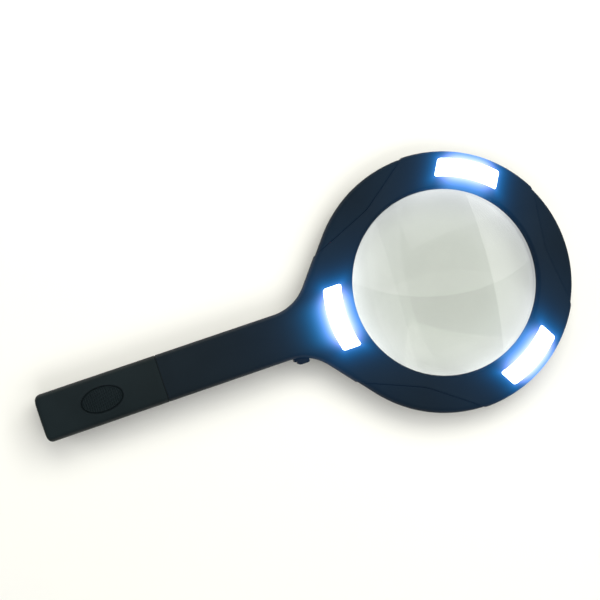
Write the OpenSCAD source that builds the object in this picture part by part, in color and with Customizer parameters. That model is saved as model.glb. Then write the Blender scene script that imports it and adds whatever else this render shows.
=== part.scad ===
// Illuminated hand magnifier for low vision: a round lens in a flat rim, three lit windows
// round the lens, and a straight handle whose end slides off the batteries.
// It lies on its back with the lit face up (+Z). The handle runs towards -X and y = 0 is the
// plane of symmetry. The origin is the middle of the footprint, on the surface it lies on.

/* [Head] */
// Outer diameter of the rim
rim_d = 134; // [132:1:138]
// Thickness of the rim
rim_t = 18; // [18:0.5:19]
// Diameter of the lens
lens_d = 100; // [98:0.5:100]
// Diameter of the clear opening
opening_d = 95; // [92:0.5:95]
// How far each face of the lens bulges past its edge
lens_bulge = 4.6; // [3.5:0.1:4.6]
// Thickness of the lens at its edge
lens_edge = 3; // [2:0.1:3]

/* [Lights] */
// Width of a lit window, along the rim
window_w = 32.5; // [28:0.1:34]
// Radius of a window's inner edge
window_in = 53.6; // [53.4:0.1:55]
// Radius of a window's outer edge
window_out = 62.9; // [62:0.1:63.4]
// Rounding of a window's corners
window_corner = 1.2; // [0.5:0.1:2]

/* [Handle] */
// Lens centre to the butt of the handle
reach = 212; // [208:1:220]
// Width of the handle
handle_w = 24.2; // [24.2:0.1:26]
// Thickness of the handle
handle_t = 23; // [23:0.1:24]
// Length of the cover that slides off the batteries
cover_l = 61.6; // [61.6:0.1:63]
// Radius of the curve from the handle into the neck
neck_fillet = 24; // [20:1:28]
// Angle between the neck's flanks and the handle
flank_angle = 51; // [48:1:54]

/* [Rim grips] */
// Radius at which a grip's edge comes nearest the lens
grip_apex = 54.3; // [54:0.1:56]
// Rise of a grip's edge towards the rim, in mm for each mm along it
grip_slope = 0.125; // [0.1:0.005:0.15]
// How far a grip lies below the shells round it
grip_recess = 0.5; // [0.3:0.1:0.8]

/* [Switch] */
// Travel of the slide switch
switch_travel = 3; // [2:0.5:3]
// Length of the switch knob
knob_l = 7.5; // [6:0.1:8]

/* [Hidden] */
$fn = 96;

shell_black = [0.13, 0.14, 0.15];
frame_black = [0.2, 0.2, 0.21];
nickel = [0.8, 0.8, 0.78];
gap = 0.1;                          // clearance between pieces that fit together

// Every length along X below is measured from the lens axis; at_lens() puts it in place.
rim_r = rim_d / 2;
lens_r = lens_d / 2;
opening_r = opening_d / 2;
lens_x = (reach - rim_r + grip_recess) / 2;
butt_x = -reach;
seam_x = cover_l - reach;
part_z = 11;                        // plane where the front and back shells meet
far = 400;                          // larger than the whole object

// Edge roundings: width of the rounded band and power of its curve
front_band = 3.4;
back_band = 6;
handle_front_band = 3;
handle_back_band = 10;
front_power = 2.6;
back_power = 2;
handle_crown = 0.9;                 // how much the handle's face falls towards its sides
edge_steps = 8;

// Rim: the lens sits in a pocket between a front lip and a narrower back lip, both rounded
wall = 1.4;
face_wall = 2.2;
front_lip_band = 1.8;
front_lip_drop = 4.2;
back_lip_r = lens_r - 1;
back_bull = 5.5;
pocket_r = lens_r + gap;
lens_z = part_z + 0.8;
lens_slack = 0.03;                  // between each face of the lens and its lip
lens_ball = (lens_r * lens_r + lens_bulge * lens_bulge) / (2 * lens_bulge);
lip_z = lens_z + lens_edge / 2 + face_drop(opening_r) + lens_slack;
seat_z = lens_z - lens_edge / 2 - face_drop(back_lip_r) - lens_slack;

// Hollow inside the rim
hollow_in = pocket_r + 1.5;
hollow_lean = 1.2;                  // how far the hollow's inner wall leans back under the face
hollow_foot = 2.9;                  // and how far it runs out to its floor
hollow_out = rim_r - 2.5;
hollow_top = rim_t - face_wall;
hollow_floor = 2;
hollow_corner = 3;

// Neck and handle outline
half_handle = handle_w / 2;
neck_angle = 31.5;                  // where the flanks meet the rim, from the handle's axis
neck_end = (rim_r + 0.4) * [-cos(neck_angle), sin(neck_angle)];
neck_corner = neck_end.x - (neck_end.y - half_handle) / tan(flank_angle);
fillet_reach = neck_fillet * tan(flank_angle / 2);
fillet_a = neck_corner - fillet_reach;
fillet_b = neck_corner + fillet_reach * cos(flank_angle);
ramp_a = -64.5;                     // the face climbs from the rim to the handle between these
ramp_b = -98;
section_steps = 20;
butt_round = 2.3;

// Places round the lens of the windows (0 is away from the handle) and of the rim grips
WINDOW_ANGLES = [180, 60, -60];
GRIP_ANGLES = [0, 120, -120];

// Lights, from the back: board, glowing strip, air, window
board_z = 12.2;
board_t = 1;
strip_t = 0.8;
flange_z = hollow_top - 1;
window_proud = 0.35;

// Screws
SCREW_SPOTS = [for (a = [31, -31, 149, -149]) 55.2 * [cos(a), sin(a)], [-135, 0]];
screw_r = 1.1;
screw_head_r = 2.1;
screw_head_t = 1.8;
screw_seat = 5;
screw_tip = 14.5;
front_boss_r = 2.8;
back_boss_r = 3.1;

// Posts that carry the light boards (two under each) and the circuit board (two pairs)
board_post = [55.6, 0];
board_post_turn = 10;               // on each side of the window's middle
board_post_r = 1.6;
pcb_post_x = [3, 26];
pcb_post_y = 4;
pcb_post_r = 1.5;

// Batteries: three cells side by side in a triangle
cell_r = 5.15;
cell_l = 43.7;
nub_r = 1.9;
nub_l = 0.8;
cell_y = cell_r + 0.05;
cell_low_z = wall + 0.15 + cell_r;
cell_high_z = cell_low_z + sqrt(pow(2 * cell_r + gap, 2) - cell_y * cell_y);
CELLS = [[cell_y, cell_high_z], [-cell_y, cell_high_z], [0, cell_low_z]];
CELL_TURNED = [false, true, false]; // a turned cell has its positive end at the butt
plate_t = 0.3;
frame_tail = butt_x + 3.6;
frame_plate = 1.4;
bay_tail = frame_tail + frame_plate;
bay_head = bay_tail + cell_l + nub_l + 2 * plate_t + 4.7;
collar_end = seam_x + 4.4;
contact_r = 4;
coil_wire_r = 0.3;
coil_wide_r = 3.4;
coil_narrow_r = 2;
coil_lift = 4;
coil_turns = 3;
rail_y = 8.1;                       // the frame's two side rails
rail_half_w = 0.9;
rail_low = 7.6;
rail_high = 10.4;

// Thumb pad on the cover: a grooved oval filled with ribs across the handle
pad_x = butt_x + 31.1;
pad_half_l = 10.75;
pad_half_w = 6.5;
pad_groove_w = 0.8;
pad_groove_depth = 0.9;
rib_count = 17;
rib_pitch = 1.1;
rib_w = 0.5;
rib_depth = 0.55;

// Switch, on the handle's -Y side
knob_x = -78.1 - knob_l / 2;
knob_z = part_z;
knob_w = 7;
pocket_floor = half_handle + 0.1;
stem_l = 4;
stem_w = 3.2;
shield_l = 12;
shield_t = 0.8;
wall_face = half_handle - 2;        // inner face of the wall behind the knob
shield_y = wall_face - 0.2 - shield_t;
switch_y = 8;                       // outer face of the switch's metal body
switch_size = [9, 4, 3.4];
lever_w = 1.6;
lever_depth = 1.4;                  // how far the lever reaches into the switch's body
shield_w = 6.4;
slot_gap = 0.2;                     // beside the stem and the lever
slot_end_gap = 0.3;
pocket_gap = 0.5;                   // beside the thumb piece
pocket_run_out = 1.6;               // past the thumb piece when it is pushed home
knob_top = 16;                      // highest step of the thumb piece, from the handle's middle
KNOB_STEPS = [[0, knob_top - 2.3], [0.5, knob_top - 2], [1.3, knob_top - 2.4], [1.5, knob_top - 0.8],
    [knob_l / 2 - 1.3, knob_top - 0.2], [knob_l / 2 + 1.3, knob_top], [knob_l - 0.5, knob_top - 0.2],
    [knob_l, knob_top - 0.6]];
KNOB_GROOVES = [-1.5, -0.25, 1, 2.25];
groove_w = 0.45;
groove_floor = knob_top - 0.5;

// Circuit board in the neck
pcb_x = -104;
pcb_size = [29, 18, 1.6];
pcb_z = knob_z - switch_size.z / 2 - pcb_size.z;
resistor_r = 1.1;
resistor_l = 5;
resistor_lift = 1.6;                // axis above the board
resistor_pitch = 4;
lead_r = 0.25;
lead_span = 8;
wire_r = 0.6;
wire_z = part_z - 0.1;

// Routes of the wires on the +Y side: battery frame to board, and board to a light
BATTERY_WIRE = [[bay_head + frame_plate, 5, 11.5], [bay_head + 8, 5, 11.5], [-138, 6.5, 11],
    [-125, 6, 11], [-112, 5, 10.2], [pcb_x + 2, 4.5, 9.95]];
LED_WIRE_START = [[-78, 0, pcb_z + pcb_size.z + wire_r], [-73.5, 0.5, wire_z], [-69, 2, wire_z]];
LED_WIRE_TURNS = [166:-8:62];       // angles it follows round the rim
led_wire_end = 57;
red_wire_r = 62.2;                  // distance from the lens axis, and where it leaves the board
red_wire_y = 4.5;
black_wire_r = 60;
black_wire_y = 2;

function mix(a, b, t) = a + (b - a) * t;
function smooth(t) = t <= 0 ? 0 : t >= 1 ? 1 : t * t * (3 - 2 * t);
// How far a face of the lens rises above its edge, at a distance from the lens axis
function face_drop(r) = sqrt(lens_ball * lens_ball - r * r) - (lens_ball - lens_bulge);
// Height of a rounded edge at t of its width: 0 at the outline, 1 where the flat face starts
function edge(t, power) = t >= 1 ? 1 : t <= 0 ? 0 : pow(1 - pow(1 - t, power), 1 / power);
function arc(c, r, from, to, steps) =
    [for (i = [0:steps]) let (a = mix(from, to, i / steps)) c + r * [cos(a), sin(a)]];
function ramp(x) = smooth((x - ramp_a) / (ramp_b - ramp_a));
function half_width(x) =
    x < fillet_a ? half_handle
    : x < fillet_b ? half_handle + neck_fillet - sqrt(pow(neck_fillet, 2) - pow(x - fillet_a, 2))
    : neck_end.y + (x - neck_end.x) * tan(flank_angle);

// Section of the rim, radius against height, drawn inset from its outer surface
function rim_section(inset) = concat(
    [for (i = [0:edge_steps]) let (t = 1 - cos(90 * i / edge_steps))
        [rim_r - inset - t * front_band, part_z + (rim_t - inset - part_z) * edge(t, front_power)]],
    [for (i = [edge_steps:-1:0]) let (t = 1 - cos(90 * i / edge_steps))
        [opening_r + t * front_lip_band, rim_t - inset - front_lip_drop * (1 - edge(t, 2))]],
    [[opening_r, part_z], [back_lip_r, part_z]],
    arc([back_lip_r + back_bull, inset + back_bull], back_bull, 180, 270, edge_steps),
    [for (i = [edge_steps:-1:1]) let (t = 1 - cos(90 * i / edge_steps))
        [rim_r - inset - t * back_band, part_z - (part_z - inset) * edge(t, back_power)]]);

// Cross-section of the neck and handle at x, inset from its outer surface
function section(x, inset = 0) =
    let (w = half_width(x) - inset,
        slope = (half_width(x + 0.1) - half_width(x - 0.1)) / 0.2,
        lean = 1 / sqrt(1 + slope * slope),
        rise = ramp(x),
        top = mix(rim_t, handle_t, rise) - inset - part_z,
        front = mix(front_band, handle_front_band, rise),
        back = mix(back_band, handle_back_band, rise))
    concat(
        [for (i = [0:section_steps]) let (c = cos(180 * i / section_steps), d = lean * w * (1 - abs(c)))
            [x, w * c, part_z + (top - handle_crown * rise * c * c) * edge(d / front, front_power)]],
        [for (i = [section_steps - 1:-1:1])
            let (c = cos(180 * i / section_steps), d = lean * w * (1 - abs(c)))
            [x, w * c, part_z - (part_z - inset) * edge(d / back, back_power)]]);

// Solid through a list of rings of points
module skin(rings) {
    n = len(rings[0]);
    last = (len(rings) - 1) * n;
    polyhedron(
        points = [for (ring = rings) each ring],
        faces = concat(
            [[for (i = [0:n - 1]) i]],
            [[for (i = [n - 1:-1:0]) last + i]],
            [for (j = [0:len(rings) - 2], i = [0:n - 1])
                let (a = j * n + i, b = j * n + (i + 1) % n) each [[a, a + n, b], [b, a + n, b + n]]]));
}

// Round wire along a path; up is any direction that the path never runs along
module tube(path, r, up, sides = 6) {
    last = len(path) - 1;
    skin([for (i = [0:last])
        let (t = path[min(i + 1, last)] - path[max(i - 1, 0)],
            s = cross(t, up) / norm(cross(t, up)),
            u = cross(t, s) / norm(t))
        [for (k = [0:sides - 1]) path[i] + r * (cos(360 * k / sides) * s + sin(360 * k / sides) * u)]]);
}

module at_lens() translate([lens_x, 0, 0]) children();
module block(low, high) translate(low) cube(high - low);
module rod(spot, r, low, high) translate([spot.x, spot.y, low]) cylinder(r = r, h = high - low);
// Length of handle between two places along X, inset from its outer surface
module handle_length(from, to, inset) skin([section(from, inset), section(to, inset)]);

// The whole outside: rim, neck and the fixed length of the handle
module outside() {
    rotate_extrude() polygon(rim_section(0));
    skin([section(seam_x + gap), for (x = [-98:3:-56]) section(x)]);
}

// The hollow inside the rim, neck and handle
module hollow() {
    rotate_extrude() polygon([
        [hollow_in, seat_z - hollow_corner], [hollow_in + hollow_foot, hollow_floor],
        [hollow_out - hollow_corner, hollow_floor], [hollow_out, hollow_floor + hollow_corner],
        [hollow_out, hollow_top], [hollow_in + hollow_lean, hollow_top],
        [hollow_in, hollow_top - hollow_corner]]);
    skin([section(seam_x - 1, wall), for (x = [-99:3:-60]) section(x, wall)]);
}

module shell_walls() difference() {
    union() {
        difference() {
            outside();
            hollow();
        }
        switch_wall();
    }
    grip_zones();
    switch_pocket();
}

module front_side() block([-far, -far, part_z], [far, far, far]);
module back_side() block([-far, -far, -far], [far, far, part_z]);

// Where a rim grip takes the place of the shells: everything outside a shallow V
module grip_zone() translate([0, 0, -1]) linear_extrude(rim_t + 2)
    polygon([[grip_apex, 0], [grip_apex + 40 * grip_slope, 40], [rim_r + 20, 40],
        [rim_r + 20, -40], [grip_apex + 40 * grip_slope, -40]]);
module grip_zones() for (a = GRIP_ANGLES) rotate(a) grip_zone();

// Outline of a lit window whose middle lies on the +X side of the lens
module window_shape(grow = 0)
    offset(delta = grow) offset(r = window_corner) offset(delta = -window_corner) intersection() {
        difference() {
            circle(window_out);
            circle(window_in);
        }
        translate([window_in - 5, -window_w / 2]) square([20, window_w]);
    }
module window_plate(low, high, grow) translate([0, 0, low]) linear_extrude(high - low) window_shape(grow);

// Thickening of the wall behind the knob
module switch_wall() translate([0, 0, knob_z - 5]) linear_extrude(10) polygon([
    [knob_x - 10, -wall_face], [knob_x - 10, -half_handle + 0.5], [fillet_a + 3, -half_handle + 0.5],
    [fillet_b - 7, -half_width(fillet_b - 7) + 0.8], [fillet_b - 7, -wall_face]]);

// Recess for the knob, and the slot that its stem slides in
module switch_pocket() {
    block([knob_x - knob_l / 2 - switch_travel - pocket_run_out, -far, knob_z - knob_w / 2 - pocket_gap],
        [knob_x + knob_l / 2 + pocket_gap, -pocket_floor, knob_z + knob_w / 2 + pocket_gap]);
    block([knob_x - stem_l / 2 - switch_travel - slot_end_gap, -far, knob_z - stem_w / 2 - slot_gap],
        [knob_x + stem_l / 2 + slot_end_gap, -switch_y, knob_z + stem_w / 2 + slot_gap]);
}

module front_shell() color(shell_black) at_lens() difference() {
    union() {
        intersection() {
            shell_walls();
            front_side();
        }
        for (s = SCREW_SPOTS) rod(s, front_boss_r, part_z, s.y == 0 ? handle_t - 1 : rim_t - 1);
    }
    rod([0, 0], pocket_r, part_z - 1, lip_z);
    for (a = WINDOW_ANGLES) rotate(a) window_plate(part_z, rim_t + 1, 0);
    for (s = SCREW_SPOTS) rod(s, screw_r + 0.05, part_z - 1, screw_tip + 0.3);
}

module back_shell() color(shell_black) at_lens() difference() {
    union() {
        intersection() {
            shell_walls();
            back_side();
        }
        for (s = SCREW_SPOTS) rod(s, back_boss_r, 1, part_z);
        for (a = WINDOW_ANGLES, side = [-1, 1]) rotate(a + board_post_turn * side)
            rod(board_post, board_post_r, 1, board_z);
        for (x = pcb_post_x, side = [-1, 1]) rod([pcb_x + x, pcb_post_y * side], pcb_post_r, 1.2, pcb_z);
    }
    rod([0, 0], pocket_r, seat_z, part_z + 1);
    for (s = SCREW_SPOTS) {
        rod(s, screw_head_r + 0.2, -1, screw_seat);
        rod(s, screw_r + 0.2, -1, part_z + 1);
    }
}

// Soft grip let into the rim between two windows, front to back
module rim_grip(i) color([0.16, 0.16, 0.17]) at_lens() rotate(GRIP_ANGLES[i]) intersection() {
    difference() {
        rotate_extrude() polygon(rim_section(grip_recess));
        hollow();
    }
    grip_zone();
}

module lens() color([0.85, 0.93, 0.95, 0.35]) at_lens() intersection() {
    rod([0, 0], lens_r, lens_z - 10, lens_z + 10);
    lens_face(1);
    lens_face(-1);
}
module lens_face(side) translate([0, 0, lens_z + side * (lens_edge / 2 + lens_bulge - lens_ball)])
    sphere(lens_ball, $fn = 256);

module led_window(i) color([0.95, 0.97, 1]) at_lens() rotate(WINDOW_ANGLES[i]) {
    window_plate(flange_z + 0.5, rim_t + window_proud, -gap);
    window_plate(flange_z, hollow_top, 0.6);
}

module led_board(i) color([0.85, 0.86, 0.86]) at_lens() rotate(WINDOW_ANGLES[i])
    window_plate(board_z, board_z + board_t, 0.6);

module led_strip(i) color([0.95, 0.85, 0.3]) at_lens() rotate(WINDOW_ANGLES[i])
    window_plate(board_z + board_t, board_z + board_t + strip_t, -2);

// Sleeve closed at the butt, with an oval of ribs on its face for the thumb
module battery_cover() color(shell_black) at_lens() {
    difference() {
        skin(concat([for (i = [5:-1:0]) let (a = 18 * i)
                section(butt_x + butt_round * (1 - sin(a)), butt_round * (1 - cos(a)))],
            [section(seam_x - gap)]));
        handle_length(butt_x + 1.8, seam_x + 1, wall);
        translate([pad_x, 0, handle_t - pad_groove_depth]) difference() {
            pad_oval(0);
            pad_oval(pad_groove_w);
        }
        for (i = [0:rib_count - 1]) intersection() {
            translate([pad_x + (i - (rib_count - 1) / 2) * rib_pitch - rib_w / 2, -5, handle_t - rib_depth])
                cube([rib_w, 10, 2]);
            translate([pad_x, 0, handle_t - 1.5]) pad_oval(pad_groove_w + 0.4);
        }
    }
}
module pad_oval(inset) linear_extrude(5)
    polygon([for (t = [0:10:350]) [(pad_half_l - inset) * cos(t), (pad_half_w - inset) * sin(t)]]);

// Open frame that holds the cells; its collar plugs the handle and guides the cover
module battery_frame() color(frame_black) at_lens() {
    handle_length(frame_tail, bay_tail, wall + 0.5);
    for (side = [-1, 1]) translate([0, side * rail_y, 0])
        block([frame_tail + 0.5, -rail_half_w, rail_low], [bay_head + 0.5, rail_half_w, rail_high]);
    difference() {
        handle_length(bay_head, collar_end, wall + 2 * gap);
        handle_length(bay_head + frame_plate, collar_end + 1, wall + 1.3);
    }
}

// A cell lies with its positive end towards the head unless it is turned
module battery(i) color([0.15, 0.3, 0.6]) at_lens() {
    flat_end = CELL_TURNED[i] ? bay_tail + plate_t + nub_l : bay_head - plate_t - nub_l - cell_l;
    nub = CELL_TURNED[i] ? flat_end - nub_l : flat_end + cell_l;
    translate([0, CELLS[i].x, CELLS[i].y]) rotate([0, 90, 0]) {
        translate([0, 0, flat_end]) cylinder(r = cell_r, h = cell_l);
        translate([0, 0, nub]) cylinder(r = nub_r, h = nub_l);
    }
}

// Sheet contacts: a bridge for two cells, or a disc for one
module contact_sheet(x, cells) translate([x, 0, 0]) rotate([90, 0, 90]) linear_extrude(plate_t) hull()
    for (c = cells) translate(CELLS[c]) circle(contact_r, $fn = 32);
module contact_plates() color(nickel) at_lens() {
    contact_sheet(bay_tail, [0, 1]);
    contact_sheet(bay_tail, [2]);
    contact_sheet(bay_head - plate_t, [0]);
    contact_sheet(bay_head - plate_t, [1, 2]);
}

// Coil that narrows from its sheet to the flat end of its cell
module contact_spring(i) {
    way = CELL_TURNED[i] ? -1 : 1;
    sheet = CELL_TURNED[i] ? bay_head - plate_t : bay_tail + plate_t;
    start = sheet + way * (coil_wire_r + 0.05);
    steps = 12 * coil_turns;
    tube([for (k = [0:steps])
        let (t = k / steps, r = mix(coil_wide_r, coil_narrow_r, t), a = 360 * coil_turns * t)
        [start + way * coil_lift * t, CELLS[i].x + r * cos(a), CELLS[i].y + r * sin(a)]],
        coil_wire_r, [1, 0, 0]);
}
module contact_springs() color(nickel) at_lens() for (i = [0:2]) contact_spring(i);

module circuit_board() color([0.1, 0.4, 0.2]) at_lens()
    translate([pcb_x, -pcb_size.y / 2, pcb_z]) cube(pcb_size);

// Three resistors, one for each light, on bent leads
module resistors() color([0.8, 0.7, 0.5]) at_lens() for (i = [0:2])
    translate([pcb_x + 3.5, (i - 0.5) * resistor_pitch, pcb_z + pcb_size.z]) {
        translate([(lead_span - resistor_l) / 2, 0, resistor_lift]) rotate([0, 90, 0])
            cylinder(r = resistor_r, h = resistor_l);
        translate([0, 0, resistor_lift]) rotate([0, 90, 0]) cylinder(r = lead_r, h = lead_span);
        for (x = [lead_r, lead_span - lead_r]) translate([x, 0, 0]) cylinder(r = lead_r, h = resistor_lift);
    }

// Metal body of the switch, with the slot that its lever slides in
module switch_body() color(nickel) at_lens() difference() {
    translate([knob_x - switch_travel / 2 - switch_size.x / 2, -switch_y, pcb_z + pcb_size.z])
        cube(switch_size);
    slot_half = lever_w / 2 + slot_gap;
    block([knob_x - slot_half - switch_travel, -far, knob_z - slot_half],
        [knob_x + slot_half, lever_depth + slot_gap - switch_y, knob_z + slot_half]);
}

module switch_lever() color(frame_black) at_lens()
    block([knob_x - lever_w / 2, -shield_y, knob_z - lever_w / 2],
        [knob_x + lever_w / 2, lever_depth - switch_y, knob_z + lever_w / 2]);

// Knob: a shield behind the slot, a stem through it and a stepped thumb piece outside
module switch_knob() color([0.1, 0.1, 0.11]) at_lens() difference() {
    union() {
        block([knob_x - shield_l / 2, -shield_y - shield_t, knob_z - shield_w / 2],
            [knob_x + shield_l / 2, -shield_y, knob_z + shield_w / 2]);
        block([knob_x - stem_l / 2, -pocket_floor - 1, knob_z - stem_w / 2],
            [knob_x + stem_l / 2, -shield_y - shield_t / 2, knob_z + stem_w / 2]);
        translate([knob_x - knob_l / 2, 0, knob_z - knob_w / 2]) linear_extrude(knob_w) polygon([
            [0, -pocket_floor - 0.2],
            for (p = KNOB_STEPS) [p.x, -p.y],
            [knob_l, -pocket_floor - 0.2]]);
    }
    for (x = KNOB_GROOVES) translate([knob_x + x, -groove_floor - 0.7, knob_z - knob_w])
        cube([groove_w, 0.7, 2 * knob_w]);
}

module case_screws() color(nickel) at_lens() for (s = SCREW_SPOTS) difference() {
    union() {
        rod(s, screw_head_r, screw_seat - screw_head_t, screw_seat);
        rod(s, screw_r, screw_seat - 0.5, screw_tip);
    }
    for (turn = [0, 90]) translate([s.x, s.y, screw_seat - screw_head_t]) rotate(turn)
        cube([2.6, 0.5, 1.6], center = true);
}

// Wires from the battery frame to the circuit board
module battery_wire(side) at_lens()
    tube([for (p = BATTERY_WIRE) [p.x, p.y * side, p.z]], wire_r, [0, 0, 1]);
module battery_wire_red() color([0.8, 0.1, 0.1]) battery_wire(1);
module battery_wire_black() color([0.05, 0.05, 0.05]) battery_wire(-1);

// Wires from the circuit board round the rim to the upper and lower lights
module led_wires(r, start_y) at_lens() for (side = [-1, 1])
    tube([for (p = LED_WIRE_START) [p.x, (start_y + p.y) * side, p.z],
        for (a = LED_WIRE_TURNS) [r * cos(a), side * r * sin(a), wire_z],
        [r * cos(led_wire_end), side * r * sin(led_wire_end), wire_z + 0.5]], wire_r, [0, 0, 1]);
module led_wire_red() color([0.8, 0.1, 0.1]) led_wires(red_wire_r, red_wire_y);
module led_wire_black() color([0.05, 0.05, 0.05]) led_wires(black_wire_r, black_wire_y);

front_shell();
back_shell();
rim_grip(0);  // rim_grip_far
rim_grip(1);  // rim_grip_upper
rim_grip(2);  // rim_grip_lower
lens();
led_window(0);  // led_window_handle
led_window(1);  // led_window_upper
led_window(2);  // led_window_lower
led_board(0);  // led_board_handle
led_board(1);  // led_board_upper
led_board(2);  // led_board_lower
led_strip(0);  // led_strip_handle
led_strip(1);  // led_strip_upper
led_strip(2);  // led_strip_lower
battery_cover();
battery_frame();
battery(0);  // battery_1
battery(1);  // battery_2
battery(2);  // battery_3
contact_plates();
contact_springs();
circuit_board();
resistors();
switch_body();
switch_lever();
switch_knob();
case_screws();
battery_wire_red();
battery_wire_black();
led_wire_red();
led_wire_black();
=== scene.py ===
import math

import bmesh
import bpy
import numpy as np
from mathutils import Matrix, Vector
from mathutils.geometry import delaunay_2d_cdt


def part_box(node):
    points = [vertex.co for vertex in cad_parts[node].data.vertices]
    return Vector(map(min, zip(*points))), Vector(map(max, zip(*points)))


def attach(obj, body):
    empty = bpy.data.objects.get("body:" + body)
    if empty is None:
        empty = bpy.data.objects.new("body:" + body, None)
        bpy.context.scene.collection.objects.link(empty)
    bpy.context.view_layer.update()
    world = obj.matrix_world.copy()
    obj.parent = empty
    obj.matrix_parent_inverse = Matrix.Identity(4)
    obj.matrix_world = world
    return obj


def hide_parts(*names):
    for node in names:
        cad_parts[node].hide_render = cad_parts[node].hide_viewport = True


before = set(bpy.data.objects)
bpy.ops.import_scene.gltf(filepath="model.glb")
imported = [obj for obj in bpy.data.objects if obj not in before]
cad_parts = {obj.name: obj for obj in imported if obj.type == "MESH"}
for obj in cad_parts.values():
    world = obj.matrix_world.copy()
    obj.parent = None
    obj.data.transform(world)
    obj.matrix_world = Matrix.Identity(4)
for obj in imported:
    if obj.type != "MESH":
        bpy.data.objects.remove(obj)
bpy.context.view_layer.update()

# ---------------------------------------------------------------- sizes, in millimetres
# Meshes are worked out in millimetres with the lens axis at x = 0, and moved into place last.
MM = 0.001
lens_low, lens_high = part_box("lens")
cover_low, cover_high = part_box("battery_cover")
knob_low, knob_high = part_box("switch_knob")
LENS_X = (lens_low.x + lens_high.x) / 2

RIM_R = 67.0
RIM_T = 18.0
OPENING_R = 47.5
PART_Z = 11.0
HANDLE_T = 23.0
HALF_HANDLE = (cover_high.y - cover_low.y) / 2 / MM
BUTT_X = (cover_low.x - LENS_X) / MM
SEAM_X = (cover_high.x - LENS_X) / MM + 0.1
SEAM_GAP = 0.10

FRONT_BAND, HANDLE_FRONT_BAND, FRONT_POWER = 3.4, 3.0, 2.6
BACK_BAND, HANDLE_BACK_BAND, BACK_POWER = 6.0, 10.0, 2.0
CROWN = 0.9
FRONT_LIP_BAND, FRONT_LIP_DROP = 1.8, 4.2
BACK_LIP_R, BACK_BULL = 49.0, 5.5
LIP_Z, SEAT_Z = 13.8, 10.08
RAMP = (-64.5, -98.0)
WALL, FACE_WALL, BACK_WALL = 1.4, 2.2, 2.0
STEP = 0.015    # width of a wall that is almost upright, from its foot to its top
PART_BEVEL, PART_DROP = 0.22, 0.18    # bevel along the line where the two halves of the case meet
LENS_POCKET_R, LENS_WALL_R = 50.1, 51.6

FLANK = math.radians(141)
FLANK_N = np.array([math.cos(FLANK), math.sin(FLANK)])
FLANK_T = np.array([-math.sin(FLANK), math.cos(FLANK)])
FILLET_R = 24.0
FILLET_C = np.array([(RIM_R + FILLET_R - (HALF_HANDLE + FILLET_R) * FLANK_N[1]) / FLANK_N[0],
                     HALF_HANDLE + FILLET_R])
FLANK_LEN = float(FILLET_C @ FLANK_T)

WINDOW_ANGLES = {"handle": math.pi, "upper": math.pi / 3, "lower": -math.pi / 3}
WINDOW_IN, WINDOW_OUT, WINDOW_HALF, WINDOW_CORNER = 53.6, 62.9, 16.25, 1.2
WINDOW_BEVEL, WINDOW_DROP = 0.35, 0.3
WINDOW_GAP, WINDOW_FLANGE = 0.1, 0.6
GRIP_ANGLES = {"far": 0.0, "upper": 2 * math.pi / 3, "lower": -2 * math.pi / 3}
GRIP_APEX, GRIP_SLOPE, GRIP_ROUND, GRIP_RECESS = 54.3, 0.125, 1.5, 0.5
GRIP_GAP = 0.09
GRIP_REACH = 38.0    # half length of a V edge
GRIP_BEVEL = 0.2    # width and depth of the case's bevel along a V edge

SCREW_CIRCLE = 55.2
SCREW_ANGLES = [math.radians(a) for a in (31, -31, 149, -149)]
SCREWS = [(SCREW_CIRCLE * math.cos(a), SCREW_CIRCLE * math.sin(a)) for a in SCREW_ANGLES]
SCREWS.append((-135.0, 0.0))
SCREW_SEAT = 5.0
SCREW_HOLE_R, SCREW_HEAD_R, BOSS_R = 1.2, 2.3, 2.6


# ---------------------------------------------------------------- shape formulas
def smooth(t):
    """Rises from 0 to 1 as t does, level at both ends."""
    t = np.clip(t, 0, 1)
    return t * t * (3 - 2 * t)


def mix(a, b, t):
    """Value at t of the way from a to b."""
    return a + (b - a) * t


def edge(t, power):
    """Height of a rounded edge at t of its width, from 0 at the outline to 1 on the flat."""
    return np.power(np.clip(1 - np.power(1 - np.clip(t, 0, 1), power), 0, 1), 1 / power)


def turned(p, angle):
    """Points turned about the lens axis by minus angle."""
    c, s = math.cos(angle), math.sin(angle)
    return np.stack([p[..., 0] * c + p[..., 1] * s, p[..., 1] * c - p[..., 0] * s], -1)


def inset(p):
    """How far points lie inside the outline of rim, neck and handle."""
    x, y = p[..., 0], np.abs(p[..., 1])
    q = np.stack([x, y], -1)
    along = q @ FLANK_T
    rim = RIM_R - np.hypot(x, y)
    flank = RIM_R - q @ FLANK_N
    fillet = np.hypot(x - FILLET_C[0], y - FILLET_C[1]) - FILLET_R
    handle = HALF_HANDLE - y
    out = np.where(along <= 0, rim, np.where(along <= FLANK_LEN, flank, fillet))
    return np.where(x <= FILLET_C[0], handle, out)


def outline(d, open_end):
    """The outline inset by d, from the handle's end round the rim and back to the handle."""
    handle = [(x, HALF_HANDLE - d) for x in np.linspace(open_end, FILLET_C[0], 42, endpoint=False)]
    fillet = [FILLET_C + (FILLET_R + d) * np.array([math.cos(a), math.sin(a)])
              for a in np.linspace(-math.pi / 2, FLANK - math.pi, 24)]
    flank = [FLANK_N * (RIM_R - d) + FLANK_T * t for t in np.linspace(FLANK_LEN, 0, 26)[1:]]
    rim = [(RIM_R - d) * np.array([math.cos(a), math.sin(a)]) for a in np.linspace(FLANK, 0, 170)[1:]]
    half = np.array([*handle, *fillet, *flank, *rim])
    return np.concatenate([half, half[-2::-1] * [1, -1]])


def rise(x):
    """How far the face has risen from the rim's height, at 0, to the handle's, at 1."""
    return smooth((x - RAMP[0]) / (RAMP[1] - RAMP[0]))


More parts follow.
